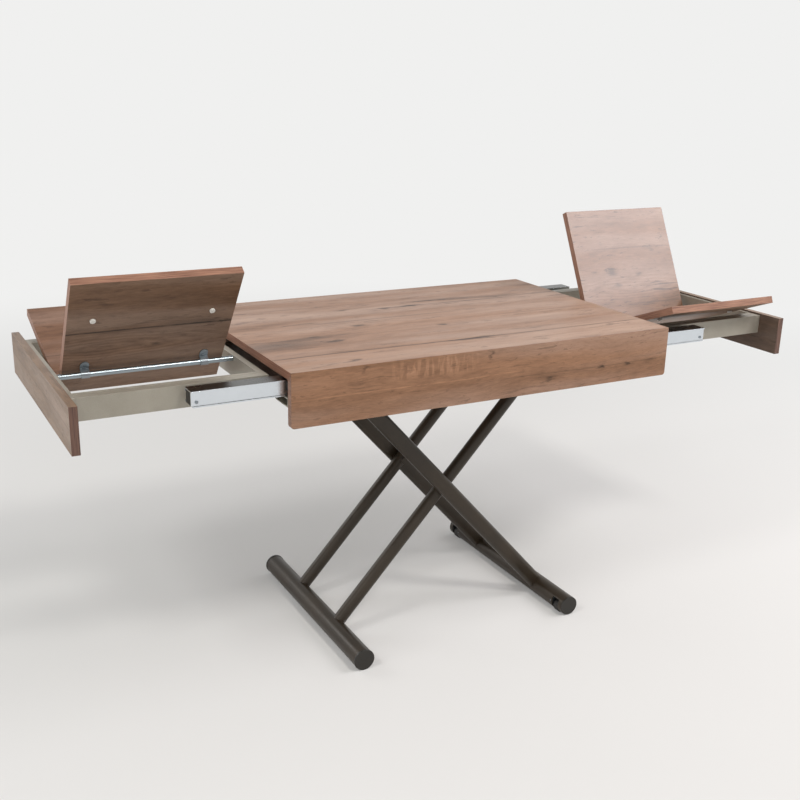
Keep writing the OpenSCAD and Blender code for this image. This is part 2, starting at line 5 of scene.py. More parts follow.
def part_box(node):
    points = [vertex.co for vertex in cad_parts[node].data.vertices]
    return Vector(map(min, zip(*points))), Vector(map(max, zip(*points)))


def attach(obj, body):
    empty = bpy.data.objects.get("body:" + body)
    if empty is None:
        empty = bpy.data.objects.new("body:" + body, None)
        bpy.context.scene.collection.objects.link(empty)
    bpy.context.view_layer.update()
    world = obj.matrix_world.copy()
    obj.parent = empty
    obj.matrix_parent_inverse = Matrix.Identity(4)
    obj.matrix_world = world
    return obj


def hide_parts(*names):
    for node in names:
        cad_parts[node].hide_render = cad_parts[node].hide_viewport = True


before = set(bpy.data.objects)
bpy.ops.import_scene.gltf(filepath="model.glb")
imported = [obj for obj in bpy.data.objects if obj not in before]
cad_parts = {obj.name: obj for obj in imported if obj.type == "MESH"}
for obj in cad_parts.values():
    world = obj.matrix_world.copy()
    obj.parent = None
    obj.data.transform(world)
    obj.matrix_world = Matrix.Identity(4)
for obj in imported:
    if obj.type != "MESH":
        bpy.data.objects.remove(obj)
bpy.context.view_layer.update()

# ---------------------------------------------------------------------------
# Floor, backdrop, camera and studio light: a pale seamless floor under a
# softbox in front, one at the left and a large round one at the right. Dim
# panels low at the left, behind and at the right fill the shadows.
# ---------------------------------------------------------------------------

SMOOTH = {"interpolation_type": "SMOOTHSTEP"}
FLOOR_REACH = 60.0       # half the width of the floor


def linear(hex_colour):
    """sRGB hex to linear, with alpha 1."""
    out = []
    for k in (1, 3, 5):
        c = int(hex_colour[k:k + 2], 16) / 255
        out.append(c / 12.92 if c <= 0.04045 else ((c + 0.055) / 1.055) ** 2.4)
    return (*out, 1.0)


def add(tree, kind, values=None, links=None, **settings):
    """Adds a node with its settings, socket values and links. A link comes from a socket, or from a
    node's first output."""
    node = tree.nodes.new("ShaderNode" + kind)
    for key, value in settings.items():
        setattr(node, key, value)
    for key, value in (values or {}).items():
        node.inputs[key].default_value = value
    for key, source in (links or {}).items():
        tree.links.new(getattr(source, "outputs", [source])[0], node.inputs[key])
    return node


def new_material(name):
    """An empty material, and its node tree."""
    material = bpy.data.materials.new(name)
    material.use_nodes = True
    material.node_tree.nodes.clear()
    return material, material.node_tree


scene = bpy.context.scene
scene.view_settings.view_transform = "Standard"

# matt paper: it takes light and shadow near the table, and from 0.8 m to
# 4.4 m away it fades into the backdrop's own colour, also in reflections
floor_paper, tree = new_material("studio_floor_paper")
paper = add(tree, "BsdfDiffuse", {"Color": linear("#dedddb")})
glow = add(tree, "Emission", {"Color": linear("#f0f0ef"), "Strength": 1.0})
where = add(tree, "TexCoord")
far = add(tree, "VectorMath", None, {0: where.outputs["Object"]}, operation="LENGTH")
fade = add(tree, "MapRange", {1: 0.8, 2: 4.4, 3: 0.16, 4: 1.0}, {0: far.outputs["Value"]}, **SMOOTH)
rays = add(tree, "LightPath")
seen = add(tree, "Math", None, {0: rays.outputs["Is Camera Ray"], 1: rays.outputs["Is Glossy Ray"]},
           operation="MAXIMUM")
share = add(tree, "Math", None, {0: seen, 1: fade}, operation="MULTIPLY")
both = add(tree, "MixShader", None, {0: share, 1: paper, 2: glow})
add(tree, "OutputMaterial", None, {"Surface": both})

bm = bmesh.new()
bmesh.ops.create_grid(bm, x_segments=1, y_segments=1, size=FLOOR_REACH)
mesh = bpy.data.meshes.new("studio_floor")
bm.to_mesh(mesh)
bm.free()
floor = bpy.data.objects.new("studio_floor", mesh)
floor.data.materials.append(floor_paper)
scene.collection.objects.link(floor)

# the camera and reflections see a bright wall that darkens to the ceiling,
# and all other rays meet the room's dim light
world = bpy.data.worlds.new("studio_room")
world.use_nodes = True
scene.world = world
tree = world.node_tree
tree.nodes.clear()
room = add(tree, "Background", {"Color": linear("#f4f3f1"), "Strength": 0.42})
where = add(tree, "TexCoord")
where = add(tree, "SeparateXYZ", None, {0: where.outputs["Object"]})
height = add(tree, "MapRange", {1: 0.35, 2: 0.85, 3: 1.0, 4: 0.30}, {0: where.outputs["Z"]}, **SMOOTH)
wall = add(tree, "Background", {"Color": linear("#f0f0ef")}, {"Strength": height})
rays = add(tree, "LightPath")
seen = add(tree, "Math", None, {0: rays.outputs["Is Camera Ray"], 1: rays.outputs["Is Glossy Ray"]},
           operation="MAXIMUM")
pick = add(tree, "MixShader", None, {0: seen, 1: room, 2: wall})
add(tree, "OutputWorld", None, {"Surface": pick})


def soft_lamp(name, place, aim, width, height, watts, colour, shape="RECTANGLE"):
    """An area lamp, its face turned to the point that it aims at."""
    lamp = bpy.data.lights.new(name, "AREA")
    lamp.shape = shape
    lamp.size = width
    lamp.size_y = height
    lamp.energy = watts
    lamp.color = linear(colour)[:3]
    o = bpy.data.objects.new(name, lamp)
    o.location = place
    o.rotation_euler = (Vector(aim) - Vector(place)).to_track_quat("-Z", "Y").to_euler()
    scene.collection.objects.link(o)


soft_lamp("front_softbox", (0.42, -2.75, 3.9), (0.0, 0, 0.7), 0.7, 0.7, 66, "#fffdf9")
soft_lamp("left_softbox", (-2.75, -1.05, 3.2), (0.0, 0, 0.7), 0.7, 0.7, 34, "#fffefc")
soft_lamp("right_octabox", (2.45, -1.39, 2.90), (0.7, 0.05, 0.8), 2.0, 2.0, 60, "#fdf8fb", "DISK")
soft_lamp("left_panel", (-3.8, -1.2, 0.9), (-0.3, 0, 0.7), 1.8, 1.0, 22, "#fafcff")
soft_lamp("back_panel", (-2.6, 2.6, 2.4), (0, 0, 0.7), 2.0, 1.4, 26, "#ffffff")
soft_lamp("right_panel", (3.6, 0.5, 1.9), (0.4, 0, 0.7), 1.4, 1.4, 22, "#ffffff")

camera = bpy.data.cameras.new("camera")
camera.lens = 47.43
camera.sensor_width = 36.0
eye = bpy.data.objects.new("camera", camera)
eye.location = (-1.28347, -2.2214, 1.36158)
eye.rotation_euler = (1.26356, -0.02336, -0.496775)
scene.collection.objects.link(eye)
scene.camera = eye

# ---------------------------------------------------------------------------
# Top board: an 18 mm particle board faced with a brown oak decor, mitred and
# glued to the aprons along its long edges. The decor is one sheet that shows
# planks side by side along the table, with knots and drying cracks.
# ---------------------------------------------------------------------------

BOARD = 0.018            # thickness
SOFT_EDGE = 0.0006       # rounding of a board's edges
ROUNDED_FROM = 0.5       # radians between faces, above which an edge is rounded
BOARD_SHARP = 60         # degrees between faces, above which an edge stays sharp
# the axes that a side's grain map takes its u and v from, for sides that
# face x, y and z, with the grain along x or along y
GRAIN_AXES = {"x": ((1, 2), (0, 2), (0, 1)), "y": ((1, 2), (2, 0), (1, 0))}


def oak_decor(name, dark, mid, light, seams=(), knots_and_painted_shadows=(), bands=(), arches=(), saw=None, shift=0.0,
              rough=0.47, pull=1.0, dash_mm=12.0, mark=1.0, shine=0.4, coat=0.0):
    """Printed oak laminate, on a UV map in metres with u along the grain. The growth lines are about
    10 mm apart, the fibre 2.4 mm and the pores 0.8 mm wide, and the dark dashes dash_mm apart.
    A seam is (v, half width, depth, from u, to u), a knot (u, v, half length, half width, depth),
    a band (from v, to v, lift), an arched figure (u, v, reach), and the saw's marks lie in
    (from u, to u, from v, to v)."""
    material, tree = new_material(name)
    uv = add(tree, "UVMap", uv_map="grain")
    cut = add(tree, "SeparateXYZ", None, {0: uv})
    along, across = cut.outputs[0], cut.outputs[1]

    # slow drift of the grain, so that no line is straight
    slow = add(tree, "VectorMath", {1: (2.4, 6.0, 1.0), 2: (shift, shift * 0.7, 3.1)}, {0: uv},
               operation="MULTIPLY_ADD")
    sway = add(tree, "TexNoise", {"Scale": 1.0, "Detail": 3.0, "Roughness": 0.5}, {"Vector": slow})
    sway = add(tree, "MapRange", {1: 0.3, 2: 0.7, 3: -0.009, 4: 0.009}, {0: sway})
    bent = add(tree, "Math", None, {0: across, 1: sway}, operation="ADD")
    grain = add(tree, "CombineXYZ", None, {0: along, 1: bent})

    def streak(per_m_along, per_m_across, detail, roughness, seed):
        """Noise drawn out along the grain, in streaks per metre."""
        place = add(tree, "VectorMath",
                    {1: (per_m_along, per_m_across, 0.0), 2: (0.0, 0.0, seed + shift)},
                    {0: grain}, operation="MULTIPLY_ADD")
        return add(tree, "TexNoise", {"Scale": 1.0, "Detail": detail, "Roughness": roughness},
                   {"Vector": place})

    def between(value, low, high, soft):
        """1 from low to high and 0 outside, with soft ends."""
        rise = add(tree, "MapRange", {1: low - soft, 2: low + soft, 3: 0.0, 4: 1.0}, {0: value}, **SMOOTH)
        fall = add(tree, "MapRange", {1: high - soft, 2: high + soft, 3: 1.0, 4: 0.0}, {0: value}, **SMOOTH)
        return add(tree, "Math", None, {0: rise, 1: fall}, operation="MULTIPLY")

    broad = streak(1.2, 12, 2.0, 0.5, 1.0)                        # planks' own tone, 80 mm wide
    cloud = streak(6.5, 30, 5.0, 0.65, 5.0)                       # blotches, 35 mm by 150 mm
    figure = streak(15, 100, 7.0, 0.75, 7.0)                      # ragged growth lines, 10 mm
    fibre = streak(40, 420, 3.0, 0.65, 13.0)                      # 2.4 mm
    pore = streak(62, 1250, 2.0, 0.5, 19.0)                       # 0.8 mm
    dash = streak(220 / dash_mm, 1000 / dash_mm, 5.0, 0.7, 29.0)  # short dark dashes
    crack = streak(30 / dash_mm, 560 / dash_mm, 6.0, 0.7, 37.0)   # long fine cracks

    # the tone of the print, about 0.24 where darkest and 0.76 where lightest
    parts = ((broad, 0.60), (cloud, 0.45), (figure, 0.42), (fibre, 0.35))
    tone = add(tree, "Value")
    tone.outputs[0].default_value = 0.5 - 0.5 * pull * sum(weight for part, weight in parts)
    for part, weight in parts:
        tone = add(tree, "Math", {1: weight * pull}, {0: part, 2: tone}, operation="MULTIPLY_ADD")
    # broad bands that are lighter or darker than the rest
    for low, high, lift in bands:
        band = between(bent, low, high, 0.012)
        tone = add(tree, "Math", {1: lift}, {0: band, 2: tone}, operation="MULTIPLY_ADD")
    # arched figure where a plank was cut through the growth rings: rings 8 mm
    # apart, stretched 8 times along the grain
    for u, v, reach in arches:
        place = add(tree, "VectorMath", {1: (0.13, 1.0, 0.0), 2: (-0.13 * u, -v, 0.0)}, {0: grain},
                    operation="MULTIPLY_ADD")
        far = add(tree, "VectorMath", None, {0: place}, operation="LENGTH").outputs["Value"]
        rings = add(tree, "Math", {1: 760.0}, {0: far}, operation="MULTIPLY")
        rings = add(tree, "Math", {1: 9.0}, {0: cloud, 2: rings}, operation="MULTIPLY_ADD")
        rings = add(tree, "Math", None, {0: rings}, operation="SINE")
        near = add(tree, "MapRange", {1: reach * 0.4, 2: reach, 3: 0.055, 4: 0.0}, {0: far}, **SMOOTH)
        tone = add(tree, "Math", None, {0: rings, 1: near, 2: tone}, operation="MULTIPLY_ADD")
    # marks of the saw, across the grain and about 10 mm apart
    if saw:
        tooth = add(tree, "VectorMath", {1: (95.0, 16.0, 0.0)}, {0: uv}, operation="MULTIPLY")
        tooth = add(tree, "TexNoise", {"Scale": 1.0, "Detail": 2.0, "Roughness": 0.5}, {"Vector": tooth})
        tooth = add(tree, "MapRange", {1: 0.46, 2: 0.62, 3: -0.04, 4: 0.11}, {0: tooth}, **SMOOTH)
        length = between(along, saw[0], saw[1], 0.04)
        width = between(across, saw[2], saw[3], 0.006)
        within = add(tree, "Math", None, {0: length, 1: width}, operation="MULTIPLY")
        tone = add(tree, "Math", None, {0: tooth, 1: within, 2: tone}, operation="MULTIPLY_ADD")

    ramp = add(tree, "ValToRGB", None, {0: tone})
    stops = ramp.color_ramp.elements
    stops[0].position, stops[0].color = 0.24, linear(dark)
    stops[1].position, stops[1].color = 0.76, linear(light)
    stops.new(0.50).color = linear(mid)

    # what darkens the print: pores, dashes, cracks, plank seams and knots, and painted shadows laid in as
    # knots
    shade = add(tree, "MapRange", {1: 0.58, 2: 0.72, 3: 0.0, 4: 0.20}, {0: pore}, **SMOOTH)
    dashes = add(tree, "MapRange", {1: 0.575, 2: 0.635, 3: 0.0, 4: 0.36 * mark}, {0: dash}, **SMOOTH)
    patch = add(tree, "MapRange", {1: 0.36, 2: 0.58, 3: 0.25, 4: 1.0}, {0: cloud}, **SMOOTH)
    shade = add(tree, "Math", None, {0: dashes, 1: patch, 2: shade}, operation="MULTIPLY_ADD")
    cracks = add(tree, "MapRange", {1: 0.60, 2: 0.64, 3: 0.0, 4: 0.34 * mark}, {0: crack}, **SMOOTH)
    shade = add(tree, "Math", None, {0: cracks, 1: shade}, operation="ADD")
    broken = add(tree, "MapRange", {1: 0.40, 2: 0.52, 3: 0.45, 4: 1.0}, {0: figure}, **SMOOTH)
    # a seam sways less than the grain does
    for v, half, depth, start, end in seams:
        off = add(tree, "Math", {1: 0.3, 2: -v}, {0: sway}, operation="MULTIPLY_ADD")
        off = add(tree, "Math", None, {0: off, 1: across}, operation="ADD")
        off = add(tree, "Math", None, {0: off}, operation="ABSOLUTE")
        line = add(tree, "MapRange", {1: 0.0, 2: half, 3: depth, 4: 0.0}, {0: off}, **SMOOTH)
        line = add(tree, "Math", None, {0: line, 1: broken}, operation="MULTIPLY")
        shade = add(tree, "Math", None, {0: line, 1: between(along, start, end, 0.05), 2: shade},
                    operation="MULTIPLY_ADD")
    if knots_and_painted_shadows:
        # the outline of a knot is ragged along the grain
        rag = add(tree, "MapRange", {1: 0.3, 2: 0.7, 3: -0.014, 4: 0.014}, {0: figure})
        rag = add(tree, "Math", None, {0: along, 1: rag}, operation="ADD")
        nick = add(tree, "MapRange", {1: 0.3, 2: 0.7, 3: -0.004, 4: 0.004}, {0: dash})
        nick = add(tree, "Math", None, {0: bent, 1: nick}, operation="ADD")
        ragged = add(tree, "CombineXYZ", None, {0: rag, 1: nick})
    for u, v, reach_u, reach_v, depth in knots_and_painted_shadows:
        place = add(tree, "VectorMath",
                    {1: (1 / reach_u, 1 / reach_v, 0.0), 2: (-u / reach_u, -v / reach_v, 0.0)},
                    {0: ragged}, operation="MULTIPLY_ADD")
        far = add(tree, "VectorMath", None, {0: place}, operation="LENGTH").outputs["Value"]
        near = add(tree, "MapRange", {1: 0.15, 2: 1.0, 3: depth, 4: 0.0}, {0: far}, **SMOOTH)
        shade = add(tree, "Math", None, {0: shade, 1: near}, operation="ADD")
    shade = add(tree, "Clamp", {1: -0.35, 2: 0.86}, {0: shade})
    keep = add(tree, "Math", {0: 1.0}, {1: shade}, operation="SUBTRACT")
    colour = add(tree, "VectorMath", None, {0: ramp, "Scale": keep}, operation="SCALE")
    # some planks are greyer than others
    wash = add(tree, "MapRange", {1: 0.38, 2: 0.62, 3: 1.14, 4: 0.94}, {0: broad}, **SMOOTH)
    wash = add(tree, "HueSaturation", None, {"Saturation": wash, "Color": colour})

    # embossed pores: the film is matt in them, and a little glossier between
    gloss = add(tree, "MapRange", {1: 0.35, 2: 0.65, 3: rough - 0.06, 4: rough + 0.07}, {0: fibre})
    relief = add(tree, "Math", {1: -0.6}, {0: pore, 2: fibre}, operation="MULTIPLY_ADD")
    bump = add(tree, "Bump", {"Strength": 0.3, "Distance": 0.0004}, {"Height": relief})
    film = add(tree, "BsdfPrincipled",
               {"IOR": 1.48, "Specular IOR Level": shine, "Coat Weight": coat, "Coat Roughness": 0.12},
               {"Base Color": wash, "Roughness": gloss, "Normal": bump})
    add(tree, "OutputMaterial", None, {"Surface": film})
    return material


def edge_band(name, dark, light, shift=0.0):
    """Edge strip of 1 mm plastic, printed with red-brown oak streaks 2 mm wide and 70 mm long."""
    material, tree = new_material(name)
    uv = add(tree, "UVMap", uv_map="grain")
    place = add(tree, "VectorMath", {1: (14, 520, 1.0), 2: (shift, 0.0, shift)}, {0: uv},
                operation="MULTIPLY_ADD")
    streaks = add(tree, "TexNoise", {"Scale": 1.0, "Detail": 3.0, "Roughness": 0.6}, {"Vector": place})
    ramp = add(tree, "ValToRGB", None, {0: streaks})
    stops = ramp.color_ramp.elements
    stops[0].position, stops[0].color = 0.33, linear(dark)
    stops[1].position, stops[1].color = 0.66, linear(light)
    bump = add(tree, "Bump", {"Strength": 0.2, "Distance": 0.0003}, {"Height": streaks})
    film = add(tree, "BsdfPrincipled", {"IOR": 1.48, "Roughness": 0.5},
               {"Base Color": ramp, "Normal": bump})
    add(tree, "OutputMaterial", None, {"Surface": film})
    return material


def board_block(low, high):
    """A plain block between two corners."""
    bm = bmesh.new()
    bmesh.ops.create_cube(bm, size=1.0)
    bmesh.ops.scale(bm, verts=bm.verts, vec=[b - a for a, b in zip(low, high)])
    bmesh.ops.translate(bm, verts=bm.verts, vec=[(a + b) / 2 for a, b in zip(low, high)])
    return bm


def as_piece(bm, node, body, finishes, sharp_degrees):
    """Makes a mesh the visible piece of a CAD node. Weighted normals keep its large flat faces even
    beside their small rounded edges."""
    mesh = bpy.data.meshes.new(node + "_dressed")
    bm.to_mesh(mesh)
    bm.free()
    o = bpy.data.objects.new(node + "_dressed", mesh)
    for finish in finishes:
        mesh.materials.append(finish)
    for p in mesh.polygons:
        p.use_smooth = True
    mesh.set_sharp_from_angle(angle=math.radians(sharp_degrees))
    scene.collection.objects.link(o)
    weighted = o.modifiers.new("weighted", "WEIGHTED_NORMAL")
    weighted.keep_sharp = True
    with bpy.context.temp_override(object=o, active_object=o, selected_objects=[o]):
        bpy.ops.object.modifier_apply(modifier="weighted")
    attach(o, body)
    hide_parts(node)
    return o


def finish_board(bm, node, body, slot, *finishes, ends, grain="x", place=None):
    """Softens a board's edges, lays its grain map, gives the second finish to the sides that face the
    axes in ends, and puts the board in place."""
    bm.normal_update()
    edges = [e for e in bm.edges if e.calc_face_angle(0) > ROUNDED_FROM]
    bmesh.ops.bevel(bm, geom=edges, offset=SOFT_EDGE, segments=2, affect="EDGES", profile=0.5, material=-1,
                    clamp_overlap=True)
    layer = bm.loops.layers.uv.new("grain")
    for f in bm.faces:
        normal = f.normal
        facing = max(range(3), key=lambda axis: abs(normal[axis]))
        u, v = GRAIN_AXES[grain][facing]
        for loop in f.loops:
            loop[layer].uv = (loop.vert.co[u], loop.vert.co[v])
        if facing in ends:
            f.material_index = 1
    if place is not None:
        bm.transform(place)
    return as_piece(bm, node, body, finishes, BOARD_SHARP)


# printed melamine film on the board: pale brown planks with long dark
# cracks, under an even satin gloss, and at its left end a painted shadow
# of the left leaf A, laid in as a large soft knot
top_decor = oak_decor(
    "oak_laminate_top", "#6b5344", "#9d7f6d", "#b59682",
    seams=[(-0.226, 0.0060, 0.66, -0.50, 0.50), (0.034, 0.0060, 0.42, -0.30, 0.10),
           (0.130, 0.0070, 0.62, -0.08, 0.36), (-0.040, 0.0050, 0.30, 0.20, 0.50),
           (0.205, 0.0050, 0.26, -0.46, 0.20), (-0.098, 0.0045, 0.22, -0.5, 0.05)],
    knots_and_painted_shadows=[(0.0, -0.229, 0.085, 0.011, 0.60), (-0.302, -0.129, 0.030, 0.012, 0.60),
           (-0.187, -0.016, 0.026, 0.012, 0.60), (0.010, -0.082, 0.024, 0.011, 0.60),
           (-0.150, 0.150, 0.026, 0.012, 0.50), (-0.042, 0.127, 0.022, 0.011, 0.55),
           (0.038, 0.131, 0.034, 0.012, 0.55), (-0.325, -0.291, 0.018, 0.009, 0.45),
           # not a knot: a painted shadow of the left leaf A, a soft dark cloud at the top's left end
           (-0.42, -0.118, 0.16, 0.055, 0.40)],
    bands=[(-0.330, -0.230, 0.08), (-0.10, 0.03, 0.05)], arches=[(-0.30, -0.02, 0.05), (0.12, 0.09, 0.04)],
    dash_mm=26.0, mark=1.2)
# printed ABS strip, glued on: redder and plainer than the faces
top_edge = edge_band("oak_edge_strip_top", "#6a4434", "#a0755f")

low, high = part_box("top_board")
bm = board_block(low, high)
for v in bm.verts:
    if v.co.z < high.z - BOARD / 2:
        v.co.y -= math.copysign(BOARD, v.co.y)
finish_board(bm, "top_board", "top_box", "wood_board", top_decor, top_edge, ends=(0,))

# ---------------------------------------------------------------------------
# Aprons: the same board, 120 mm high, with the decor wrapped over the mitre.
# Their lower corners are rounded. The print has a seam at mid-height and
# knots towards the right end of the front.
# ---------------------------------------------------------------------------

APRON_CORNER = 0.007     # radius of the lower corners
HAIR = 1e-6              # less than this is no distance

# the same film, a little darker: short marks, knots and the strokes of a saw
apron_decor = oak_decor(
    "oak_laminate_apron", "#694f3e", "#987660", "#b48f78",
    seams=[(0.704, 0.0018, -0.34, -0.52, 0.10), (0.690, 0.0020, 0.30, 0.02, 0.50)],
    knots_and_painted_shadows=[(-0.325, 0.750, 0.007, 0.014, 0.42), (-0.009, 0.752, 0.006, 0.016, 0.55),
           (0.123, 0.738, 0.008, 0.003, 0.35), (0.055, 0.733, 0.006, 0.004, 0.45),
           (0.306, 0.691, 0.014, 0.008, 0.65), (0.380, 0.687, 0.013, 0.008, 0.65),
           (0.153, 0.673, 0.020, 0.010, 0.50), (0.455, 0.685, 0.028, 0.006, 0.35),
           (-0.206, 0.744, 0.004, 0.020, -0.22), (-0.250, 0.744, 0.005, 0.018, -0.16),
           (-0.226, 0.742, 0.003, 0.018, 0.20)],
    bands=[(0.645, 0.700, -0.06)], saw=(-0.25, -0.06, 0.722, 0.760), shift=4.0, pull=0.8,
    dash_mm=6.5, mark=0.85)
# printed ABS strip on the short ends, a shade greyer than the top's
apron_edge = edge_band("oak_edge_strip_apron", "#644435", "#93705c", 2.0)

for node in ("apron_front", "apron_back"):
    low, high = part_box(node)
    bm = board_block(low, high)
    inner_y = min(abs(low.y), abs(high.y))
    for v in bm.verts:
        if v.co.z > high.z - BOARD / 2 and abs(v.co.y) < inner_y + BOARD / 2:
            v.co.z -= BOARD
    corners = [e for e in bm.edges if all(v.co.z < low.z + BOARD / 2 for v in e.verts)
               and abs(e.verts[0].co.x - e.verts[1].co.x) < HAIR]
    bmesh.ops.bevel(bm, geom=corners, offset=APRON_CORNER, segments=6, affect="EDGES", profile=0.5,
                    material=-1)
    finish_board(bm, node, "top_box", "wood_board", apron_decor, apron_edge, ends=(0,))

# ---------------------------------------------------------------------------
# End panels: 17 mm board with the grain across the table, edged all round.
# They are screwed to the flat member behind them from inside.
# ---------------------------------------------------------------------------


def refinish(o, direction, index, least_cosine=0.9):
    """Gives the faces that look in one direction another of the piece's finishes."""
    for p in o.data.polygons:
        if p.normal.dot(direction) > least_cosine:
            p.material_index = index


# printed melamine film outside: greyer planks, with two thin seams
panel_decor = oak_decor(
    "oak_laminate_panel", "#55453b", "#85705f", "#a48c7c",
    seams=[(0.700, 0.0018, 0.35, -0.4, 0.4), (0.735, 0.0014, 0.2, -0.2, 0.3)],
    knots_and_painted_shadows=[(-0.10, 0.715, 0.012, 0.006, 0.3), (0.13, 0.690, 0.014, 0.005, 0.3)], shift=9.0)
# the film inside, the darkest of the table: painted shade, as the inner faces stand in the table's shade;
# it sets the leaves off
panel_inner_painted_shade = oak_decor("oak_laminate_panel_inner_painted_shade", "#3c3029", "#5e4d42", "#776457", shift=11.0)
# printed ABS strip on the ends: dark, so that the panel's outline shows
panel_edge = edge_band("oak_edge_strip_panel", "#45302a", "#795a4c", 5.0)

for side, inward in (("left", 1), ("right", -1)):
    node = side + "_end_panel"
    panel = finish_board(board_block(*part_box(node)), node, side + "_end_frame", "wood_panel",
                         panel_decor, panel_edge, panel_inner_painted_shade, ends=(1,), grain="y")
    # the inner faces take the dark film: painted shade
    refinish(panel, Vector((inward, 0, 0)), 2)

# ---------------------------------------------------------------------------
# Leaves: four boards, faced on both sides and edged. Leaf A turns on the rod,
# leaf B hangs on its lower edge. The grain is laid on each while it is flat,
# and then it is turned to where it stands.
# ---------------------------------------------------------------------------

# the middle of the table top along the table, and its height
TOP_X = (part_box("top_board")[0].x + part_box("top_board")[1].x) / 2
TOP_Z = 0.765
ROD_IN = 0.0685                              # from the table's middle line to a rod
ROD_Z = 0.735                                # height of a rod
LEAF_TURN = {"left": 53.9, "right": 64.0}    # degrees that leaf A stands up
FOLD = 1.333                                 # turn of leaf B on leaf A, per turn of leaf A
FLAT = 1.0                                   # degrees within which faces count as one flat face

# melamine backing film: dark and matt, with one bold crack between planks
leaf_under = oak_decor(
    "oak_laminate_leaf_back", "#4a372b", "#7c6250", "#967b67",
    seams=[(-0.185, 0.0042, 0.78, -1.0, 1.0)],
    knots_and_painted_shadows=[(-0.70, -0.130, 0.016, 0.008, 0.55), (-0.82, -0.27, 0.016, 0.008, 0.4),
           (-0.74, -0.30, 0.014, 0.007, 0.4), (-0.62, -0.188, 0.10, 0.010, 0.30)],
    arches=[(-0.80, -0.135, 0.050), (0.74, -0.235, 0.045)], shift=15.0, shine=0.3)
# lacquered film on leaf A: short dark marks, and a satin coat that shows
# the lamps as a pale veil
leaf_light = oak_decor(
    "oak_laminate_leaf_a", "#533f30", "#846653", "#9e806d",
    seams=[(-0.052, 0.0030, 0.40, -0.88, -0.70), (-0.215, 0.0028, 0.40, -0.88, -0.60)],
    knots_and_painted_shadows=[(-0.640, -0.150, 0.030, 0.016, 0.55), (-0.655, -0.112, 0.020, 0.010, 0.45),
           (-0.735, -0.140, 0.016, 0.010, 0.40), (-0.80, -0.205, 0.012, 0.008, 0.40)],
    arches=[(-0.70, -0.10, 0.05)], shift=21.0, rough=0.42, dash_mm=10.0, mark=1.5, coat=0.7)
# lacquered film on leaf B: a warmer and calmer plank, with less shine
leaf_warm = oak_decor("oak_laminate_leaf_b", "#4f392b", "#7c5d4b", "#987763",
                      seams=[(0.12, 0.003, 0.45, -1.0, 1.0)], shift=27.0, shine=0.3, coat=0.5)
# printed ABS strip round the leaves: the palest strip of the table
leaf_edge = edge_band("oak_edge_strip_leaf", "#6b4738", "#ab8069", 8.0)


def leaf_place(side, which):
    """Carries a leaf drawn flat on the left to where it stands."""
    a = math.radians(LEAF_TURN[side])
    to_rod = Matrix.Translation((0, -ROD_IN, ROD_Z))
    place = to_rod @ Matrix.Rotation(-a, 4, "X") @ to_rod.inverted()
    if which == "b":
        to_hinge = Matrix.Translation((0, 0, TOP_Z))
        place = place @ to_hinge @ Matrix.Rotation(FOLD * a, 4, "X") @ to_hinge.inverted()
    if side == "right":
        to_middle = Matrix.Translation((TOP_X, 0, 0))
        place = to_middle @ Matrix.Rotation(math.pi, 4, "Z") @ to_middle.inverted() @ place
    return place


def cad_copy(node):
    """A merged copy of a CAD node's mesh, with its flat faces whole."""
    bm = bmesh.new()
    bm.from_mesh(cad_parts[node].data)
    bmesh.ops.remove_doubles(bm, verts=bm.verts, dist=HAIR)
    bmesh.ops.dissolve_limit(bm, angle_limit=math.radians(FLAT), verts=bm.verts, edges=bm.edges)
    return bm


for side in ("left", "right"):
    for which, decor in (("a", leaf_light), ("b", leaf_warm)):
        node = "%s_leaf_%s" % (side, which)
        place = leaf_place(side, which)
        # the copy has the hinge pockets, and is laid flat for the grain
        bm = cad_copy(node)
        bm.transform(place.inverted())
        leaf = finish_board(bm, node, node + "_body", "wood_board", decor, leaf_edge, leaf_under,
                            ends=(0, 1), place=place)
        refinish(leaf, place.to_3x3() @ Vector((0, 0, -1)), 2)

# ---------------------------------------------------------------------------
# Steelwork of the end frames and the runners: rails, flat member, crossbar
# and tubes are folded steel with a satin greige powder coat, welded and
# screwed up. The two stretchers across the ends of the runners are black, as painted shade for the box's
# dark ends.
# ---------------------------------------------------------------------------

SOFTENED_FROM = 35       # degrees between faces, above which an edge is softened
STEEL_SHARP = 32         # degrees between faces, above which an edge stays sharp
FOLD_ROUND = 0.9         # rounding of the folded steel, in mm
STRETCHER_FROM = 0.405   # where the stretchers lie along the table,
STRETCHER_TO = 0.472
STRETCHER_HALF = 0.286   # within this of the middle line
STRETCHER_TOP = 0.6868   # and below this height


def powder_coat(name, colour, speck, rough, metallic=0.0, grit_mm=0.8, bump_strength=0.12):
    """Baked powder paint: an orange peel of about grit_mm, and slow changes of tone."""
    material, tree = new_material(name)
    where = add(tree, "TexCoord").outputs["Object"]
    peel = add(tree, "TexNoise", {"Scale": 1000 / grit_mm / 2, "Detail": 2.0, "Roughness": 0.5},
               {"Vector": where})
    cloud = add(tree, "TexNoise", {"Scale": 9.0, "Detail": 4.0, "Roughness": 0.6}, {"Vector": where})
    amount = add(tree, "Math", {1: 0.5}, {0: peel, 2: cloud}, operation="MULTIPLY_ADD")
    ramp = add(tree, "ValToRGB", None, {0: amount})
    stops = ramp.color_ramp.elements
    stops[0].position, stops[0].color = 0.50, linear(colour)
    stops[1].position, stops[1].color = 1.0, linear(speck)
    gloss = add(tree, "MapRange", {1: 0.35, 2: 0.65, 3: rough - 0.04, 4: rough + 0.06}, {0: cloud})
    bump = add(tree, "Bump", {"Strength": bump_strength, "Distance": 0.0002}, {"Height": peel})
    paint = add(tree, "BsdfPrincipled", {"Metallic": metallic},
                {"Base Color": ramp, "Roughness": gloss, "Normal": bump})
    add(tree, "OutputMaterial", None, {"Surface": paint})
    return material


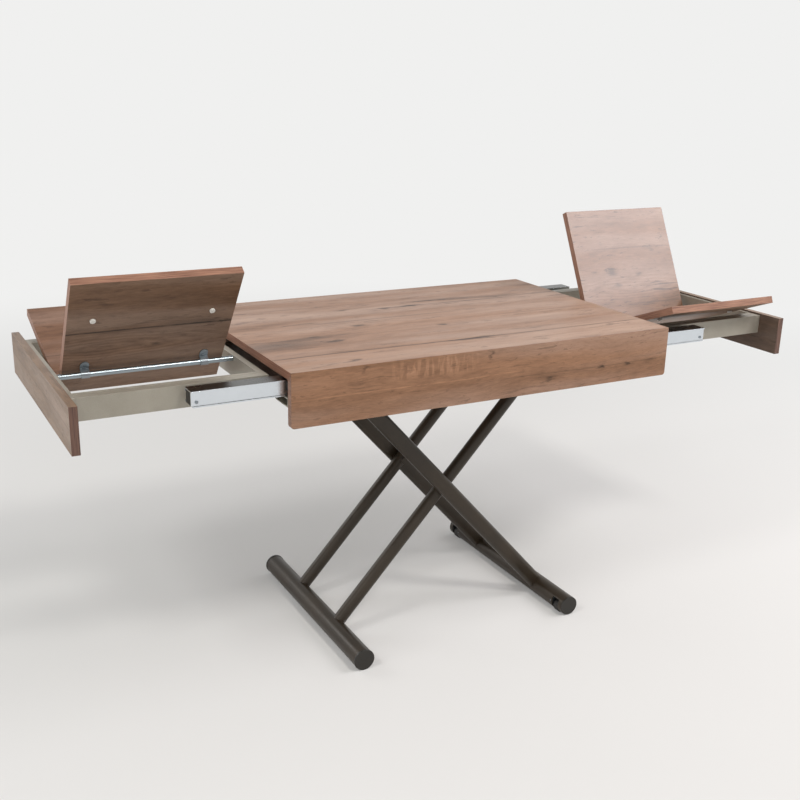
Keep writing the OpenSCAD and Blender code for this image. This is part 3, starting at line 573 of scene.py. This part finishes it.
def dressed(node, body, slot, *finishes, bevel_mm=0.5, segments=2, reshape=None):
    """A copy of a CAD node with softened edges and a finish."""
    bm = cad_copy(node)
    if bevel_mm:
        least = math.radians(SOFTENED_FROM)
        sharp = [e for e in bm.edges if e.is_manifold and e.calc_face_angle(0) > least]
        bmesh.ops.bevel(bm, geom=sharp, offset=bevel_mm / 1000, segments=segments, affect="EDGES",
                        profile=0.5, material=-1, clamp_overlap=True)
    if reshape:
        reshape(bm)
    bmesh.ops.triangulate(bm, faces=[f for f in bm.faces if len(f.verts) > 4])
    return as_piece(bm, node, body, finishes, STEEL_SHARP)


# polyester powder with some metal flake: warm light grey, satin, with a
# faint orange peel
greige = powder_coat("greige_powder_coat", "#948e81", "#a8a296", 0.40, metallic=0.25)
# plain polyester powder: satin black without any sparkle, on the stretchers as painted shade for the box's
# dark ends
black_coat_painted_shade = powder_coat("black_powder_painted_shade", "#211e1b", "#2b2724", 0.45)

runners = dressed("runner_frame", "top_box", "greige_paint", greige, black_coat_painted_shade, bevel_mm=FOLD_ROUND)
# the stretchers take the black coat: painted shade in the box's dark ends
for p in runners.data.polygons:
    x, y, z = p.center
    if STRETCHER_FROM < abs(x) < STRETCHER_TO and abs(y) < STRETCHER_HALF and z < STRETCHER_TOP:
        p.material_index = 1
for side in ("left", "right"):
    for part in ("end_member", "crossbar", "rail_front", "rail_back"):
        dressed(side + "_" + part, side + "_end_frame", "greige_paint", greige, bevel_mm=FOLD_ROUND)

# ---------------------------------------------------------------------------
# Slides, rods and small steel: zinc-plated. The slides are rolled from 2.5 mm
# strip, with painted shade on their top faces, the rods are drawn bar, and the
# tracks are rolled and screwed to the aprons. The rest are small pressed and turned parts.
# ---------------------------------------------------------------------------

POCKET_ROOF = TOP_Z - 0.002      # roof of a hinge pocket, in a leaf that lies flat
LINK_PLAY = 0.0002               # what a hinge link keeps clear of it


def zinc_plate(name, colour, rough, lines=(6.0, 220.0, 220.0), cloud_depth=0.06, relief=0.05, spread=0.10):
    """Zinc plating, with drawn lines and soft clouds in its gloss. The lines are given per metre: as
    they stand they are 4.5 mm apart, far coarser than the real ones, so that they show."""
    material, tree = new_material(name)
    where = add(tree, "TexCoord").outputs["Object"]
    place = add(tree, "VectorMath", {1: lines}, {0: where}, operation="MULTIPLY")
    drawn = add(tree, "TexNoise", {"Scale": 1.0, "Detail": 3.0, "Roughness": 0.6}, {"Vector": place})
    cloud = add(tree, "TexNoise", {"Scale": 26.0, "Detail": 4.0, "Roughness": 0.6}, {"Vector": where})
    mixed = add(tree, "Math", {1: 0.5}, {0: drawn, 2: cloud}, operation="MULTIPLY_ADD")
    gloss = add(tree, "MapRange", {1: 0.5, 2: 1.0, 3: rough - spread / 2, 4: rough + spread}, {0: mixed})
    ramp = add(tree, "ValToRGB", None, {0: cloud})
    stops = ramp.color_ramp.elements
    darker = tuple(c * (1 - cloud_depth * 2) for c in linear(colour)[:3]) + (1,)
    stops[0].position, stops[0].color = 0.3, darker
    stops[1].position, stops[1].color = 0.7, linear(colour)
    bump = add(tree, "Bump", {"Strength": relief, "Distance": 0.0001}, {"Height": drawn})
    metal = add(tree, "BsdfPrincipled", {"Metallic": 1.0},
                {"Base Color": ramp, "Roughness": gloss, "Normal": bump})
    add(tree, "OutputMaterial", None, {"Surface": metal})
    return material


def below_roof(side):
    """Keeps a hinge link under the roof of the pocket that it swings in."""
    def edit(bm):
        flat = leaf_place(side, "a")
        bm.transform(flat.inverted())
        for v in bm.verts:
            v.co.z = min(v.co.z, POCKET_ROOF - LINK_PLAY)
        bm.transform(flat)
    return edit


# zinc on rolled strip: an even, bright and slightly soft mirror
slide_zinc = zinc_plate("zinc_plated_slide", "#dde2e7", 0.25, cloud_depth=0.025, relief=0.005,
                        spread=0.015)
# the same zinc on the slides' top faces, dark and cloudy: painted shade and a painted dark reflection of
# the leaves above
slide_top_painted_shade = zinc_plate("zinc_slide_top_painted_shade", "#6a6a69", 0.27, cloud_depth=0.10, relief=0.005,
                          spread=0.04)
# zinc on drawn bar: bluer and darker, with one soft highlight
bright_zinc = zinc_plate("zinc_plated_steel", "#9fa9af", 0.30, relief=0.005, spread=0.02)
# barrel-plated small parts: dull, cloudy and a little rough
dull_zinc = zinc_plate("zinc_plated_clip", "#9aa1a6", 0.36, lines=(60.0, 60.0, 60.0), cloud_depth=0.12)

for side in ("left", "right"):
    slides = dressed(side + "_slides", side + "_slides", "zinc_steel", slide_zinc, slide_top_painted_shade,
                     bevel_mm=0.6)
    # the top faces take the dark zinc: painted shade and painted reflection under the leaves
    refinish(slides, Vector((0, 0, 1)), 1)
    dressed(side + "_slide_screws", side + "_slides", "zinc_steel", dull_zinc, bevel_mm=0.25)
    dressed(side + "_leaf_rod", side + "_end_frame", "zinc_steel", bright_zinc, bevel_mm=0)
    dressed(side + "_glide_carriages", side + "_end_frame", "zinc_steel", dull_zinc, bevel_mm=0.4)
    dressed(side + "_rod_clips", side + "_leaf_a_body", "zinc_steel", dull_zinc, bevel_mm=0.35)
    dressed(side + "_clip_screws", side + "_leaf_a_body", "zinc_steel", dull_zinc, bevel_mm=0.3)
    dressed(side + "_hinge_links", side + "_leaf_a_body", "zinc_steel", dull_zinc, bevel_mm=0.2,
            reshape=below_roof(side))
    dressed(side + "_hinge_cups", side + "_leaf_b_body", "zinc_steel", dull_zinc, bevel_mm=0.2)
for node, zinc in (("track_front", bright_zinc), ("track_back", bright_zinc), ("track_screws", dull_zinc)):
    dressed(node, "top_box", "zinc_steel", zinc, bevel_mm=0.3)
dressed("roller_axles", "outer_frame", "zinc_steel", dull_zinc, bevel_mm=0.4)

# ---------------------------------------------------------------------------
# Plastic and rubber: glide strips, sliders and stop blocks are moulded in
# black nylon and clipped in place. The rollers have a grey-black tread, and
# milk-white bumpers are pushed into the leaves.
# ---------------------------------------------------------------------------


def moulded(name, colour, rough, grain_mm=0.6, depth=0.08):
    """Moulded plastic or rubber with a fine spark-eroded skin."""
    material, tree = new_material(name)
    where = add(tree, "TexCoord").outputs["Object"]
    skin = add(tree, "TexNoise", {"Scale": 1000 / grain_mm / 2, "Detail": 2.0, "Roughness": 0.6},
               {"Vector": where})
    wear = add(tree, "TexNoise", {"Scale": 40.0, "Detail": 3.0, "Roughness": 0.5}, {"Vector": where})
    ramp = add(tree, "ValToRGB", None, {0: wear})
    stops = ramp.color_ramp.elements
    stops[0].position, stops[0].color = 0.3, tuple(c * 0.85 for c in linear(colour)[:3]) + (1,)
    stops[1].position, stops[1].color = 0.7, linear(colour)
    gloss = add(tree, "MapRange", {1: 0.3, 2: 0.7, 3: rough - 0.05, 4: rough + 0.05}, {0: wear})
    bump = add(tree, "Bump", {"Strength": depth, "Distance": 0.0002}, {"Height": skin})
    body = add(tree, "BsdfPrincipled", {"IOR": 1.5},
               {"Base Color": ramp, "Roughness": gloss, "Normal": bump})
    add(tree, "OutputMaterial", None, {"Surface": body})
    return material


# nylon dyed through: black, with a soft sheen where it is worn
nylon = moulded("black_nylon", "#1e1d1c", 0.45)
# vulcanised rubber: matt grey-black, with a rougher skin
tread = moulded("roller_rubber", "#2a2826", 0.6, depth=0.15)
# soft white rubber: pale dots under the leaves
milky = moulded("bumper_rubber", "#e9e6df", 0.4)

dressed("glide_strips", "top_box", "glide_plastic", nylon, bevel_mm=0.4)
dressed("left_sliders", "left_axle", "glide_plastic", nylon, bevel_mm=0.5)
dressed("right_sliders", "inner_frame", "glide_plastic", nylon, bevel_mm=0.5)
for side in ("left", "right"):
    dressed(side + "_slide_stops", side + "_slides", "glide_plastic", nylon, bevel_mm=0.5)
for side in ("front", "back"):
    dressed("roller_" + side, side + "_roller", "roller_rubber", tread, bevel_mm=1.4, segments=3)
for side in ("left", "right"):
    for which in "ab":
        dressed("%s_bumpers_%s" % (side, which), "%s_leaf_%s_body" % (side, which), "bumper_rubber",
                milky, bevel_mm=1.2, segments=3)

# ---------------------------------------------------------------------------
# Base: round and flat-oval steel tubes, coped and welded to the foot tubes,
# in a dark bronze powder coat with a satin gloss. The welded pivots are
# painted with them; the caps in the tube ends are plastic of the same colour.
# ---------------------------------------------------------------------------

# polyester powder with some metal flake: near black, brown in the light
bronze = powder_coat("bronze_powder_coat", "#2c241a", "#3a3024", 0.36, metallic=0.25, grit_mm=1.0,
                     bump_strength=0.2)
# moulded polyethylene: the same brown-black, without the flake
cap_plastic = moulded("foot_cap_plastic", "#221e18", 0.42)

for node, body in (("outer_leg_front", "outer_frame"), ("outer_leg_back", "outer_frame"),
                   ("inner_leg_front", "inner_frame"), ("inner_leg_back", "inner_frame"),
                   ("left_foot", "inner_frame"), ("right_foot", "outer_frame"),
                   ("left_upper_axle", "left_axle"), ("right_upper_axle", "inner_frame")):
    dressed(node, body, "bronze_paint", bronze, bevel_mm=0.3)
dressed("pivot_bolts", "outer_frame", "bronze_paint", bronze, bevel_mm=0.4)
dressed("left_foot_caps", "inner_frame", "bronze_paint", cap_plastic, bevel_mm=1.2, segments=3)
dressed("right_foot_caps", "outer_frame", "bronze_paint", cap_plastic, bevel_mm=0.8, segments=3)
